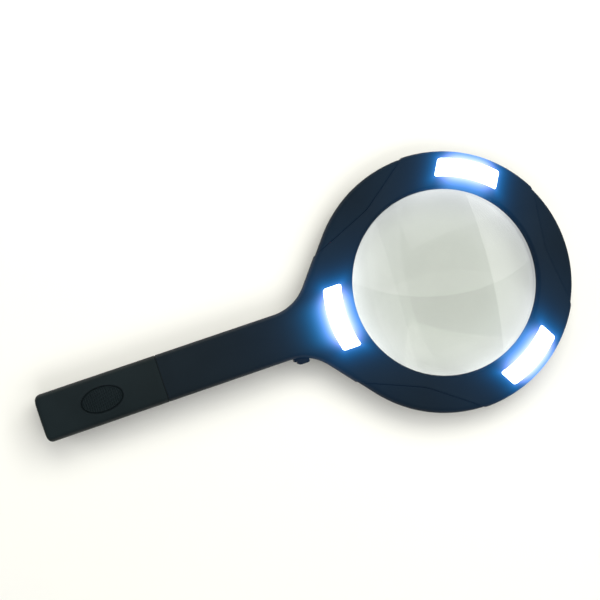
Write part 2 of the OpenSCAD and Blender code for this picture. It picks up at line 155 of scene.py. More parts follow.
def front_z(p, d, recess=0.0):
    """Height of the front surface."""
    x, y = p[..., 0], p[..., 1]
    up = rise(x)
    top = mix(RIM_T, HANDLE_T, up) - recess - PART_Z
    top = top - CROWN * up * np.clip(y / HALF_HANDLE, -1, 1) ** 2
    z = PART_Z + top * edge(d / mix(FRONT_BAND, HANDLE_FRONT_BAND, up), FRONT_POWER)
    r = np.hypot(x, y)
    lip = RIM_T - FRONT_LIP_DROP * (1 - edge((r - OPENING_R) / FRONT_LIP_BAND, 2))
    return np.where(r < OPENING_R + FRONT_LIP_BAND, np.minimum(z, lip), z)


def back_z(p, d, recess=0.0):
    """Height of the back surface."""
    x, y = p[..., 0], p[..., 1]
    band = mix(BACK_BAND, HANDLE_BACK_BAND, rise(x))
    z = PART_Z - (PART_Z - recess) * edge(d / band, BACK_POWER)
    r = np.hypot(x, y)
    lip = BACK_BULL * (1 - edge((r - BACK_LIP_R) / BACK_BULL, 2))
    return np.maximum(z, lip)


def window_out(p, name):
    """Distance outside a window's outline, negative inside it."""
    q = turned(p, WINDOW_ANGLES[name])
    r = np.hypot(q[..., 0], q[..., 1])
    a = np.abs(q[..., 1]) - WINDOW_HALF + WINDOW_CORNER
    b = np.maximum(WINDOW_IN - r, r - WINDOW_OUT) + WINDOW_CORNER
    corner = np.hypot(np.maximum(a, 0), np.maximum(b, 0))
    other_side = np.where(q[..., 0] > 0, 0, 100)
    return np.minimum(np.maximum(a, b), 0) + corner - WINDOW_CORNER + other_side


def grip_out(p, name):
    """Distance outside a grip's V edge, negative on the grip."""
    q = turned(p, GRIP_ANGLES[name])
    v = GRIP_APEX + GRIP_SLOPE * (np.hypot(q[..., 1], GRIP_ROUND) - GRIP_ROUND)
    return np.where(np.abs(q[..., 1]) > GRIP_REACH, 10, (v - q[..., 0]) / math.hypot(1, GRIP_SLOPE))


def circle(centre, r, n):
    """Closed loop of n points."""
    a = np.linspace(0, 2 * math.pi, n, endpoint=False)
    return np.stack([centre[0] + r * np.cos(a), centre[1] + r * np.sin(a)], -1)


def level(field, start, value):
    """Moves points along a field's gradient until the field has a value there."""
    p = np.array(start, float)
    h, rounds = 1e-3, 8
    for _ in range(rounds):
        f = field(p)
        gx = (field(p + [h, 0]) - field(p - [h, 0])) / (2 * h)
        gy = (field(p + [0, h]) - field(p - [0, h])) / (2 * h)
        g = np.stack([gx, gy], -1)
        p = p - g * ((f - value) / np.maximum((g * g).sum(-1), 0.05))[..., None]
    return p


def window_loop(name, value):
    """Closed loop at a distance outside a window's outline."""
    side = np.linspace(-1, 1, 44)
    inner_turn, outer_turn = 0.293, 0.245
    arc_in = [(WINDOW_IN - value) * np.array([math.cos(t), math.sin(t)]) for t in side * inner_turn]
    arc_out = [(WINDOW_OUT + value) * np.array([math.cos(t), math.sin(t)]) for t in side[::-1] * outer_turn]
    end_low = math.sqrt(WINDOW_IN ** 2 - WINDOW_HALF ** 2) + 0.6
    end_high = math.sqrt(WINDOW_OUT ** 2 - WINDOW_HALF ** 2) - 0.1
    end_x = np.linspace(end_low, end_high, 12)
    ends = [[(x, s * (WINDOW_HALF + value)) for x in (end_x if s > 0 else end_x[::-1])] for s in (1, -1)]
    loop = np.array([*arc_in, *ends[0], *arc_out, *ends[1]])
    loop = turned(loop, -WINDOW_ANGLES[name])
    loop = level(lambda p: window_out(p, name), loop, value)
    least_apart = 0.12
    return loop[np.hypot(*(loop - np.roll(loop, 1, 0)).T) > least_apart]


def grip_line(name, value):
    """Line at a distance outside a grip's V edge."""
    y = np.linspace(1 - GRIP_REACH, GRIP_REACH - 1, 75)
    x = GRIP_APEX + GRIP_SLOPE * (np.hypot(y, GRIP_ROUND) - GRIP_ROUND)
    line = turned(np.stack([x, y], -1), -GRIP_ANGLES[name])
    return level(lambda p: grip_out(p, name), line, value)


# ---------------------------------------------------------------- mesh building
def plane_mesh(loops, lines, points):
    """Triangles over the plane that follow closed loops, open lines and loose points."""
    verts, edges = [], []
    for group, closed in ((loops, True), (lines, False)):
        for pts in group:
            first = len(verts)
            verts.extend(Vector(p) for p in pts)
            last = len(verts) - 1
            edges.extend((i, i + 1) for i in range(first, last))
            if closed:
                edges.append((last, first))
    verts.extend(Vector(p) for p in points)
    v, _, faces, *_ = delaunay_2d_cdt(verts, edges, [], 0, 1e-4)
    return np.array([tuple(p) for p in v]), np.array([f for f in faces if len(f) == 3])


def slab(xy, faces, keep, high, low):
    """Closed solid between two height surfaces over the kept triangles."""
    centre = xy[faces].mean(1)
    faces = faces[keep(centre)]
    a, b, c = xy[faces[:, 0]], xy[faces[:, 1]], xy[faces[:, 2]]
    area = (b[:, 0] - a[:, 0]) * (c[:, 1] - a[:, 1]) - (b[:, 1] - a[:, 1]) * (c[:, 0] - a[:, 0])
    faces = np.where((area > 0)[:, None], faces, faces[:, ::-1])
    faces = faces[np.abs(area) > 1e-9]
    used, faces = np.unique(faces, return_inverse=True)
    faces = faces.reshape(-1, 3)
    p = xy[used]
    n = len(p)
    top, bottom = high(p), low(p)
    verts = np.concatenate([np.column_stack([p, top]), np.column_stack([p, bottom])])
    half = np.concatenate([faces[:, [0, 1]], faces[:, [1, 2]], faces[:, [2, 0]]])
    seen = {(int(i), int(j)) for i, j in half}
    walls = [(i, i + n, j + n, j) for i, j in half.tolist() if (j, i) not in seen]
    return verts, [*faces.tolist(), *(faces[:, ::-1] + n).tolist(), *walls]


def piece(name, parts, body, nodes, materials, crease=32):
    """One object from closed solids in lens millimetres, riding on a body."""
    verts, faces = [], []
    for v, f in parts:
        first = len(verts)
        verts.extend(map(tuple, np.asarray(v, float)))
        faces.extend(tuple(i + first for i in face) for face in f)
    mesh = bpy.data.meshes.new(name)
    mesh.from_pydata([(x * MM + LENS_X, y * MM, z * MM) for x, y, z in verts], [], faces)
    mesh.validate()
    solid = bmesh.new()
    solid.from_mesh(mesh)
    bmesh.ops.recalc_face_normals(solid, faces=solid.faces)
    solid.to_mesh(mesh)
    solid.free()
    mesh.shade_smooth()
    mesh.set_sharp_from_angle(angle=math.radians(crease))
    obj = bpy.data.objects.new(name, mesh)
    bpy.context.scene.collection.objects.link(obj)
    for m in materials if isinstance(materials, list) else [materials]:
        mesh.materials.append(m)
    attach(obj, body)
    if nodes:
        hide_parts(*nodes)
    return obj


def loft(rings):
    """Closed skin over rings of points that all have the same number of points."""
    rings = [np.asarray(r, float) for r in rings]
    n = len(rings[0])
    verts = np.concatenate(rings)
    faces = []
    for j in range(len(rings) - 1):
        for i in range(n):
            a, b = j * n + i, j * n + (i + 1) % n
            faces.append((a, b, b + n, a + n))
    faces.append(tuple(range(n))[::-1])
    last = (len(rings) - 1) * n
    faces.append(tuple(range(last, last + n)))
    return verts, faces


def lathe(profile, n, frame_of):
    """Surface of revolution of a closed list of (along, radius), placed by frame_of(along, y, z)."""
    angles = np.linspace(0, 2 * math.pi, n, endpoint=False)
    return loft([[frame_of(along, r * math.cos(a), r * math.sin(a)) for a in angles] for along, r in profile])


# ---------------------------------------------------------------- materials
def material(name, base, rough, *, metallic=0.0, variation=0.12, tone_scale=40.0, grain_scale=2500.0,
             grain=0.15, grain_mm=0.02, rough_spread=0.06, specular=0.5, coat=0.0, stretch=(1, 1, 1)):
    """Principled surface with mottled colour, uneven roughness and a fine moulded grain."""
    m = bpy.data.materials.new(name)
    m.use_nodes = True
    nt = m.node_tree
    bsdf = nt.nodes["Principled BSDF"]
    coords = nt.nodes.new("ShaderNodeTexCoord")
    mapping = nt.nodes.new("ShaderNodeMapping")
    mapping.inputs["Scale"].default_value = stretch
    nt.links.new(coords.outputs["Object"], mapping.inputs["Vector"])

    def noise(scale, detail):
        node = nt.nodes.new("ShaderNodeTexNoise")
        node.inputs["Scale"].default_value = scale
        node.inputs["Detail"].default_value = detail
        nt.links.new(mapping.outputs["Vector"], node.inputs["Vector"])
        return node

    tone, fine = noise(tone_scale, 5), noise(grain_scale, 3)
    ramp = nt.nodes.new("ShaderNodeValToRGB")
    ramp.color_ramp.elements[0].position = 0.3
    ramp.color_ramp.elements[1].position = 0.7
    ramp.color_ramp.elements[0].color = (*[c * (1 - variation) for c in base], 1)
    ramp.color_ramp.elements[1].color = (*[min(1, c * (1 + variation)) for c in base], 1)
    nt.links.new(tone.outputs["Fac"], ramp.inputs["Fac"])
    nt.links.new(ramp.outputs["Color"], bsdf.inputs["Base Color"])
    spread = nt.nodes.new("ShaderNodeMapRange")
    spread.inputs["From Min"].default_value = 0.3
    spread.inputs["From Max"].default_value = 0.7
    spread.inputs["To Min"].default_value = max(0.02, rough - rough_spread)
    spread.inputs["To Max"].default_value = min(1.0, rough + rough_spread)
    nt.links.new(fine.outputs["Fac"], spread.inputs["Value"])
    nt.links.new(spread.outputs["Result"], bsdf.inputs["Roughness"])
    bump = nt.nodes.new("ShaderNodeBump")
    bump.inputs["Strength"].default_value = grain
    bump.inputs["Distance"].default_value = grain_mm * MM
    nt.links.new(fine.outputs["Fac"], bump.inputs["Height"])
    nt.links.new(bump.outputs["Normal"], bsdf.inputs["Normal"])
    bsdf.inputs["Metallic"].default_value = metallic
    bsdf.inputs["Specular IOR Level"].default_value = specular
    bsdf.inputs["Coat Weight"].default_value = coat
    return m


def math_node(nt, operation, a, b=None):
    """Node for one step of arithmetic on numbers or on other nodes' results."""
    node = nt.nodes.new("ShaderNodeMath")
    node.operation = operation
    for socket, value in zip(node.inputs, (a, b)):
        if value is None:
            continue
        if isinstance(value, (int, float)):
            socket.default_value = value
        else:
            nt.links.new(value, socket)
    return node.outputs[0]


# Light of the windows painted on the plastic as emission, a painted glow: colour, strength at a window's
# edge, reach in mm, and whether it is brightest off the middle of the window's long sides
GLOW = [
    ((0.0, 0.32, 1.0), 0.55, 3.2, False),
    ((0.0, 0.377, 1.0), 1.60, 4.8, True),
    ((1.0, 0.31, 0.66), 1.00, 1.9, True),
    ((0.0, 0.32, 1.0), 0.055, 24.0, False),
]
GLOW_HALF = 12.1    # half length of the stretch of a window's side where the painted glow is brightest
GLOW_FROM, GLOW_FULL = 6.0, 16.5    # heights between which the painted glow on the plastic fades in
INWARD = 0.9    # distances towards the lens count as this much less


def from_axis(nt):
    """Nodes for x and y measured from the lens axis, and for the distance from it."""
    coords = nt.nodes.new("ShaderNodeTexCoord")
    split = nt.nodes.new("ShaderNodeSeparateXYZ")
    nt.links.new(coords.outputs["Object"], split.inputs[0])
    x = math_node(nt, "SUBTRACT", split.outputs["X"], LENS_X)
    y = split.outputs["Y"]
    squares = math_node(nt, "ADD", math_node(nt, "MULTIPLY", x, x), math_node(nt, "MULTIPLY", y, y))
    return x, y, math_node(nt, "SQRT", squares)


def window_distance(nt):
    """Nodes for the distances off the nearest window's ends and sides, and for how near its middle."""
    x, y, r = from_axis(nt)
    third = 2 * math.pi / 3
    wrap = nt.nodes.new("ShaderNodeMath")
    wrap.operation = "WRAP"
    nt.links.new(math_node(nt, "ADD", math_node(nt, "ARCTAN2", y, x), -math.pi / 3), wrap.inputs[0])
    wrap.inputs[1].default_value = third / 2
    wrap.inputs[2].default_value = -third / 2
    across = math_node(nt, "ABSOLUTE", math_node(nt, "MULTIPLY", r, math_node(nt, "SINE", wrap.outputs[0])))
    ends = math_node(nt, "MAXIMUM", math_node(nt, "SUBTRACT", across, WINDOW_HALF * MM), 0.0)
    outer = math_node(nt, "MAXIMUM", math_node(nt, "SUBTRACT", r, WINDOW_OUT * MM), 0.0)
    inner = math_node(nt, "MAXIMUM", math_node(nt, "SUBTRACT", WINDOW_IN * MM, r), 0.0)
    sides = math_node(nt, "ADD", outer, math_node(nt, "MULTIPLY", inner, INWARD))
    middle = math_node(nt, "POWER", math_node(nt, "MULTIPLY", across, 1 / (GLOW_HALF * MM)), 4.0)
    return ends, sides, math_node(nt, "EXPONENT", math_node(nt, "MULTIPLY", middle, -1.0))


def glow_term(nt, distances, strength, reach, from_middle):
    """Node for a strength that fades with distance from the nearest window."""
    ends, sides, middle = distances
    d = sides
    if not from_middle:
        d = math_node(nt, "SQRT", math_node(nt, "ADD", math_node(nt, "MULTIPLY", ends, ends),
                                            math_node(nt, "MULTIPLY", sides, sides)))
    fade = math_node(nt, "EXPONENT", math_node(nt, "MULTIPLY", d, -1 / (reach * MM)))
    fade = math_node(nt, "MULTIPLY", fade, strength)
    return math_node(nt, "MULTIPLY", fade, middle) if from_middle else fade


def add_painted_window_glow(m, terms):
    """Paints the windows' light onto a surface as emission, the sum of terms that each have a colour."""
    nt = m.node_tree
    bsdf = nt.nodes["Principled BSDF"]
    distances = window_distance(nt)
    total = None
    for colour, strength, reach, from_middle in terms:
        fade = glow_term(nt, distances, strength, reach, from_middle)
        tint = nt.nodes.new("ShaderNodeVectorMath")
        tint.operation = "SCALE"
        tint.inputs[0].default_value = colour
        nt.links.new(fade, tint.inputs["Scale"])
        if total is None:
            total = tint.outputs[0]
            continue
        add = nt.nodes.new("ShaderNodeVectorMath")
        nt.links.new(total, add.inputs[0])
        nt.links.new(tint.outputs[0], add.inputs[1])
        total = add.outputs[0]
    nt.links.new(total, bsdf.inputs["Emission Color"])
    coords = nt.nodes.new("ShaderNodeTexCoord")
    split = nt.nodes.new("ShaderNodeSeparateXYZ")
    nt.links.new(coords.outputs["Object"], split.inputs[0])
    painted_glow_by_height = nt.nodes.new("ShaderNodeMapRange")
    painted_glow_by_height.inputs["From Min"].default_value = GLOW_FROM * MM
    painted_glow_by_height.inputs["From Max"].default_value = GLOW_FULL * MM
    nt.links.new(split.outputs["Z"], painted_glow_by_height.inputs["Value"])
    nt.links.new(painted_glow_by_height.outputs["Result"], bsdf.inputs["Emission Strength"])


shell_plastic = material("shell_plastic", (0.0062, 0.0108, 0.0148), 0.66,
                         specular=0.10, grain=0.35, grain_mm=0.03)
grip_plastic = material("grip_plastic", (0.0060, 0.0105, 0.0145), 0.70,
                        specular=0.09, grain=0.45, grain_mm=0.035)
# Lighter base than the shell's plastic: painted light, for the highlight that falls on the cover.
cover_plastic_with_painted_light = material("cover_plastic_with_painted_light", (0.0082, 0.0135, 0.0158), 0.66,
                         specular=0.10, grain=0.35, grain_mm=0.03)
knob_plastic = material("knob_plastic", (0.006, 0.009, 0.013), 0.5, specular=0.12, grain=0.2)
# Painted glow of the windows on the case, grip and knob plastic.
for plastic in (shell_plastic, grip_plastic, knob_plastic):
    add_painted_window_glow(plastic, GLOW)
inner_plastic = material("inner_plastic", (0.012, 0.012, 0.013), 0.5, specular=0.3, grain=0.15)
board_white = material("board_white", (0.82, 0.84, 0.84), 0.4, variation=0.03, coat=0.2)
led_phosphor = material("led_phosphor", (0.92, 0.72, 0.18), 0.5, variation=0.06, grain_scale=1500)
battery_wrap = material("battery_wrap", (0.03, 0.10, 0.26), 0.28, variation=0.08, coat=0.5, grain=0.05)
battery_band = material("battery_band", (0.55, 0.56, 0.58), 0.3,
                        metallic=0.6, variation=0.05, coat=0.4, grain=0.05)
nickel = material("nickel", (0.62, 0.60, 0.56), 0.28,
                  metallic=1.0, variation=0.06, grain=0.1, stretch=(1, 1, 12))
screw_steel = material("screw_steel", (0.38, 0.38, 0.40), 0.34, metallic=1.0, variation=0.1, grain=0.12)
board_green = material("board_green", (0.02, 0.14, 0.06), 0.3, variation=0.15, coat=0.4, grain=0.08)
resistor_paint = material("resistor_paint", (0.52, 0.38, 0.22), 0.4, variation=0.1)
wire_red = material("wire_red", (0.32, 0.015, 0.015), 0.4, variation=0.1)
wire_black = material("wire_black", (0.015, 0.015, 0.015), 0.4, variation=0.1)


def lit_diffuser():
    """Frosted plastic with the light of the strip behind it."""
    m = material("lit_diffuser", (0.92, 0.95, 1.0), 0.35, variation=0.02, grain_scale=1800, grain=0.1)
    bsdf = m.node_tree.nodes["Principled BSDF"]
    bsdf.inputs["Emission Color"].default_value = (0.72, 0.86, 1.0, 1)
    bsdf.inputs["Emission Strength"].default_value = 4.0
    return m


# Light painted into the lens as emission, near the windows and all round its edge: strength there, and reach
# in mm
LENS_PAINTED_GLOW, LENS_PAINTED_GLOW_REACH = 0.33, 8.5
EDGE_PAINTED_LIGHT, EDGE_PAINTED_LIGHT_REACH = 0.14, 5.0


def clear_acrylic():
    """Polished acrylic that lets light through to what lies under it, tinted grey as painted shade, with
    painted light near the windows and round its edge.
    """
    m = bpy.data.materials.new("clear_acrylic")
    m.use_nodes = True
    nt = m.node_tree
    bsdf = nt.nodes["Principled BSDF"]
    # Grey tint, darker than clear acrylic is: painted shade over what is seen through the lens.
    bsdf.inputs["Base Color"].default_value = (0.52, 0.538, 0.522, 1)
    bsdf.inputs["Transmission Weight"].default_value = 1.0
    bsdf.inputs["IOR"].default_value = 1.49
    coords = nt.nodes.new("ShaderNodeTexCoord")
    noise = nt.nodes.new("ShaderNodeTexNoise")
    noise.inputs["Scale"].default_value = 90.0
    spread = nt.nodes.new("ShaderNodeMapRange")
    spread.inputs["To Min"].default_value = 0.0
    spread.inputs["To Max"].default_value = 0.008
    nt.links.new(coords.outputs["Object"], noise.inputs["Vector"])
    nt.links.new(noise.outputs["Fac"], spread.inputs["Value"])
    nt.links.new(spread.outputs["Result"], bsdf.inputs["Roughness"])
    # Painted light: emission near the windows and all round the lens's edge.
    painted_lens_light = glow_term(nt, window_distance(nt), LENS_PAINTED_GLOW, LENS_PAINTED_GLOW_REACH, False)
    bsdf.inputs["Emission Color"].default_value = (0.90, 0.93, 1.0, 1)
    past_opening = math_node(nt, "SUBTRACT", from_axis(nt)[2], OPENING_R * MM)
    fade = math_node(nt, "EXPONENT", math_node(nt, "MULTIPLY", past_opening, 1 / (EDGE_PAINTED_LIGHT_REACH * MM)))
    painted_lens_light = math_node(nt, "ADD", painted_lens_light, math_node(nt, "MULTIPLY", fade, EDGE_PAINTED_LIGHT))
    nt.links.new(painted_lens_light, bsdf.inputs["Emission Strength"])
    path = nt.nodes.new("ShaderNodeLightPath")
    clear = nt.nodes.new("ShaderNodeBsdfTransparent")
    clear.inputs["Color"].default_value = (0.9, 0.92, 0.92, 1)
    mixer = nt.nodes.new("ShaderNodeMixShader")
    nt.links.new(path.outputs["Is Shadow Ray"], mixer.inputs["Fac"])
    nt.links.new(bsdf.outputs["BSDF"], mixer.inputs[1])
    nt.links.new(clear.outputs["BSDF"], mixer.inputs[2])
    nt.links.new(mixer.outputs["Shader"], nt.nodes["Material Output"].inputs["Surface"])
    return m


diffuser = lit_diffuser()
acrylic = clear_acrylic()


# ---------------------------------------------------------------- case
# Depths inside the outline at which points follow it, closest where the edge is most curved
BANDS = [0, 0.08, 0.18, 0.32, 0.5, 0.75, 1.05, 1.4, 1.8, 2.25, 2.75, 3.4, 4.4, 6.0, 8.0, 10.0]
ROUND_POINTS = 300
CASE_END = SEAM_X + SEAM_GAP
KNOB_HALF, STEM_HALF, TRAVEL = 3.75, 2.0, 3.0
LIP_ANGLES = np.linspace(0, math.pi / 2, 9)
LIP_RADII = [OPENING_R + FRONT_LIP_BAND * (1 - math.cos(a)) for a in LIP_ANGLES]
LIP_RADII += [BACK_LIP_R + BACK_BULL * (1 - math.cos(a)) for a in LIP_ANGLES]
KNOB_MID = ((knob_low.x + knob_high.x) / 2 - LENS_X) / MM
# Pocket that the knob slides in, and the slot through the wall for its stem
POCKET = (KNOB_MID - KNOB_HALF - TRAVEL - 1.6, KNOB_MID + KNOB_HALF + 0.5)
POCKET_Y = -HALF_HANDLE - 0.1
POCKET_HALF = 4.0
SLOT = (KNOB_MID - STEM_HALF - TRAVEL - 0.3, KNOB_MID + STEM_HALF + 0.3)
SLOT_HALF = 1.8
SLOT_Y = -HALF_HANDLE + 2


def spine():
    """Loose points along the middle of the handle and neck, where the inset outlines leave room."""
    pitch, side, stop = 1.5, 1.4, 49
    rows = [(x, y) for x in np.arange(CASE_END + 1, -stop, pitch) for y in (-side, 0, side)]
    return [p for p in rows if math.hypot(*p) > stop]


def in_range(x, span):
    """Whether values are between the two ends of a span."""
    return (x > span[0]) & (x < span[1])


def box_lines(x0, x1, y0, y1):
    """Three sides of a rectangle, open at its low y, each as two lines a step apart."""
    out = []
    for s in (0, STEP):
        out.append([(x0 - s, y0 - 3), (x0 - s, y1 + 3)])
        out.append([(x1 + s, y0 - 3), (x1 + s, y1 + 3)])
        out.append([(x0 - 1, y1 + s), (x1 + 1, y1 + s)])
    return out


def case_plane():
    """Triangles over the case that follow every edge on it."""
    loops = [outline(d, CASE_END) for d in (*BANDS, WALL + STEP, PART_BEVEL, PART_BEVEL + STEP)]
    lens_radii = (LENS_POCKET_R, LENS_POCKET_R + STEP, LENS_WALL_R, LENS_WALL_R + STEP)
    loops += [circle((0, 0), r, ROUND_POINTS) for r in (*LIP_RADII, *lens_radii)]
    for name in WINDOW_ANGLES:
        loops += [window_loop(name, v) for v in (0.0, 0.15, WINDOW_BEVEL)]
    for spot in SCREWS:
        loops += [circle(spot, r, 40) for r in (SCREW_HOLE_R, SCREW_HEAD_R, SCREW_HEAD_R + STEP, BOSS_R)]
    lines = [grip_line(name, v) for name in GRIP_ANGLES for v in (0.0, 0.08, GRIP_BEVEL)]
    lines += box_lines(*POCKET, -16, POCKET_Y)
    lines += box_lines(*SLOT, POCKET_Y, SLOT_Y)
    return plane_mesh(loops, lines, spine())


case_xy, case_tris = case_plane()


def on_case(p, opening):
    """Whether points are on the case, outside the opening and the grips."""
    keep = (inset(p) > 0) & (np.hypot(p[:, 0], p[:, 1]) > opening) & (p[:, 0] > CASE_END)
    for name in GRIP_ANGLES:
        keep &= grip_out(p, name) > 0
    return keep


def bevel(d, width, drop):
    """Drop of a small rounded edge at a distance from it."""
    return drop * (1 - edge(d / width, 2))


def grip_drop(p):
    """How far the case falls along the grips."""
    drop = np.zeros(len(p))
    for name in GRIP_ANGLES:
        drop = np.maximum(drop, bevel(grip_out(p, name), GRIP_BEVEL, GRIP_BEVEL))
    return drop


def edge_drop(p):
    """How far the case's face falls at its windows and along the grips."""
    drop = np.zeros(len(p))
    for name in WINDOW_ANGLES:
        drop = np.maximum(drop, bevel(window_out(p, name), WINDOW_BEVEL, WINDOW_DROP))
    return np.maximum(drop, grip_drop(p))


def in_pocket(p):
    return in_range(p[:, 0], POCKET) & (p[:, 1] < POCKET_Y + STEP / 2)


def in_slot(p):
    return in_range(p[:, 0], SLOT) & (p[:, 1] < SLOT_Y + STEP / 2) & (p[:, 1] > -20)


def front_high(p):
    """Outer surface of the front half."""
    d = inset(p)
    z = front_z(p, d) - edge_drop(p)
    least = 0.2
    z = np.where(d < 0.1, np.maximum(z, PART_Z + least), z)
    return np.where(in_pocket(p), np.maximum(z, PART_Z + POCKET_HALF + least), z)


def front_low(p):
    """Inner surface of the front half, with the lens pocket, the bosses and the knob's pocket."""
    d, r = inset(p), np.hypot(p[:, 0], p[:, 1])
    roof = front_z(p, np.maximum(d, 0)) - mix(FACE_WALL, WALL, rise(p[:, 0]))
    hollow = (d > WALL + STEP / 2) & (r > LENS_WALL_R + STEP / 2) & ~at_screw(p, BOSS_R - STEP)
    z = np.where(hollow, np.maximum(roof, PART_Z), PART_Z)
    z = np.where(r < LENS_POCKET_R + STEP / 2, LIP_Z, z)
    z = np.where(d < PART_BEVEL + STEP / 2, PART_Z + PART_DROP, z)
    z = np.where(in_slot(p), np.maximum(z, PART_Z + SLOT_HALF), z)
    return np.where(in_pocket(p), PART_Z + POCKET_HALF, z)


def in_window(p):
    out = np.zeros(len(p), bool)
    for name in WINDOW_ANGLES:
        out |= window_out(p, name) < 0
    return out


def at_screw(p, r):
    out = np.zeros(len(p), bool)
    for spot in SCREWS:
        out |= np.hypot(p[:, 0] - spot[0], p[:, 1] - spot[1]) < r
    return out


def back_low(p):
    """Outer surface of the back half."""
    z = back_z(p, inset(p)) + grip_drop(p)
    z = np.where(at_screw(p, SCREW_HEAD_R + STEP / 2), SCREW_SEAT, z)
    return np.where(in_pocket(p), np.minimum(z, PART_Z - POCKET_HALF - 0.2), z)


def back_high(p):
    """Inner surface of the back half."""
    d, r = inset(p), np.hypot(p[:, 0], p[:, 1])
    inside = back_z(p, d) + mix(BACK_WALL, WALL, rise(p[:, 0]))
    hollow = (d > WALL + STEP / 2) & (r > LENS_WALL_R + STEP / 2) & ~at_screw(p, BOSS_R + STEP)
    z = np.where(hollow, np.minimum(inside, PART_Z), PART_Z)
    z = np.where(r < LENS_POCKET_R + STEP / 2, SEAT_Z, z)
    z = np.where(in_slot(p), np.minimum(z, PART_Z - SLOT_HALF), z)
    return np.where(in_pocket(p), PART_Z - POCKET_HALF, z)


def on_front(p):
    return on_case(p, OPENING_R) & ~in_window(p)


def on_back(p):
    return on_case(p, BACK_LIP_R) & ~at_screw(p, SCREW_HOLE_R)


front = slab(case_xy, case_tris, on_front, front_high, front_low)
piece("front_case", [front], "handle", ["front_shell"], shell_plastic)
back = slab(case_xy, case_tris, on_back, back_high, back_low)
piece("back_case", [back], "handle", ["back_shell"], shell_plastic)


# ---------------------------------------------------------------- rim grips
GRIP_DEPTHS = [v + GRIP_RECESS for v in (*BANDS[:12], WALL, WALL + STEP)]
GRIP_SIDE = 1.5    # wall of a grip along its V edge
SOFT_BEVEL, SOFT_DROP = 0.3, 0.25


def grip_plane(name):
    """Triangles over a grip, with loose points at a pitch where no edge is near."""
    loops = [outline(d, -70) for d in GRIP_DEPTHS]
    edges = (GRIP_GAP, GRIP_GAP + 0.1, GRIP_GAP + SOFT_BEVEL, GRIP_SIDE, GRIP_SIDE + STEP, 2 * GRIP_SIDE)
    lines = [grip_line(name, -v) for v in edges]
    pitch = 1.6
    spots = [np.array([x, y]) for x in np.arange(55, 67, pitch) for y in np.arange(-34, 35, pitch)]
    points = [turned(spot, -GRIP_ANGLES[name]) for spot in spots]
    points = [p for p in points if grip_out(p, name) < -3.3 and inset(p) > 4.2]
    return plane_mesh(loops, lines, points)


def make_grip(name):
    """Recessed soft sector of the rim, as a front and a back half."""
    grip_xy, grip_tris = grip_plane(name)

    def keep(p):
        return (grip_out(p, name) < -GRIP_GAP) & (inset(p) > GRIP_RECESS)

    def drop(p):
        return bevel(-grip_out(p, name) - GRIP_GAP, SOFT_BEVEL, SOFT_DROP)

    def hollow(p):
        return (inset(p) > GRIP_RECESS + WALL + STEP / 2) & (grip_out(p, name) < -GRIP_SIDE - STEP / 2)

    def top(p):
        return np.maximum(front_z(p, inset(p) - GRIP_RECESS, GRIP_RECESS) - drop(p), PART_Z + 0.05)

    def roof(p):
        return np.where(hollow(p), np.maximum(top(p) - FACE_WALL, PART_Z), PART_Z)

    def bottom(p):
        return np.minimum(back_z(p, inset(p) - GRIP_RECESS, GRIP_RECESS) + drop(p), PART_Z - 0.05)

    def inside(p):
        return np.where(hollow(p), np.minimum(bottom(p) + BACK_WALL, PART_Z), PART_Z)

    halves = [slab(grip_xy, grip_tris, keep, top, roof), slab(grip_xy, grip_tris, keep, inside, bottom)]
    piece(f"rim_grip_{name}_soft", halves, "handle", [f"rim_grip_{name}"], grip_plastic)


for grip in GRIP_ANGLES:
    make_grip(grip)


# ---------------------------------------------------------------- lit windows and lens
WINDOW_SUNK, WINDOW_RISE, WINDOW_CROWN = 0.35, 0.7, 0.12


def make_window(name):
    """Frosted window with a rounded edge, on a flange behind the case's face."""
    depths = (WINDOW_GAP, WINDOW_GAP + STEP, 0.2, 0.35, 0.6, 1.0, 1.6, 2.4, 3.3)
    loops = [window_loop(name, v) for v in (WINDOW_FLANGE, 0.0, *[-d for d in depths])]
    window_xy, window_tris = plane_mesh(loops, [], [])
    flange_z = RIM_T - FACE_WALL

    def keep(p):
        return window_out(p, name) < WINDOW_FLANGE

    def high(p):
        d = -WINDOW_GAP - window_out(p, name)
        dome = RIM_T - WINDOW_SUNK + WINDOW_RISE * edge(d, 2.2) + WINDOW_CROWN * smooth(d / 4.5)
        return np.where(d > STEP / 2, dome, flange_z)

    def low(p):
        return np.full(len(p), flange_z - 1)

    solid = slab(window_xy, window_tris, keep, high, low)
    piece(f"led_window_{name}_frosted", [solid], "handle", [f"led_window_{name}"], diffuser)


for window in WINDOW_ANGLES:
    make_window(window)


def make_lens():
    """Biconvex lens, turned from its face's arc and a narrow upright edge."""
    r_edge = (lens_high.y - lens_low.y) / 2 / MM
    middle = (lens_low.z + lens_high.z) / 2 / MM
    apex = (lens_high.z - lens_low.z) / 2 / MM
    edge_half, chamfer = 1.5, 0.25
    ball = (r_edge ** 2 + (apex - edge_half) ** 2) / (2 * (apex - edge_half))
    radii = r_edge * np.sin(np.linspace(0.02, 1, 56) * math.pi / 2)
    radii[-1] = r_edge - chamfer

    def face_z(r):
        return apex - ball + np.sqrt(ball ** 2 - r ** 2)

    half = [(face_z(r), r) for r in radii] + [(edge_half - 0.2, r_edge)]
    profile = [(z, r) for z, r in half] + [(-z, r) for z, r in half[::-1]]
    solid = lathe(profile, 256, lambda along, u, v: (u, v, middle + along))
    piece("lens_acrylic_disc", [solid], "handle", ["lens"], acrylic, crease=20)


make_lens()


# ---------------------------------------------------------------- battery cover
SIDE_Y = [HALF_HANDLE - d for d in BANDS[:11]]
TOP_Y = [*SIDE_Y, *np.linspace(8.9, -8.9, 72), *[-y for y in SIDE_Y[::-1]]]
LOW_Y = [HALF_HANDLE - HANDLE_BACK_BAND * (1 - math.cos(t)) for t in np.linspace(0, math.pi / 2, 15)[1:]]
LOW_Y = [*[-y for y in LOW_Y], *LOW_Y[::-1]]
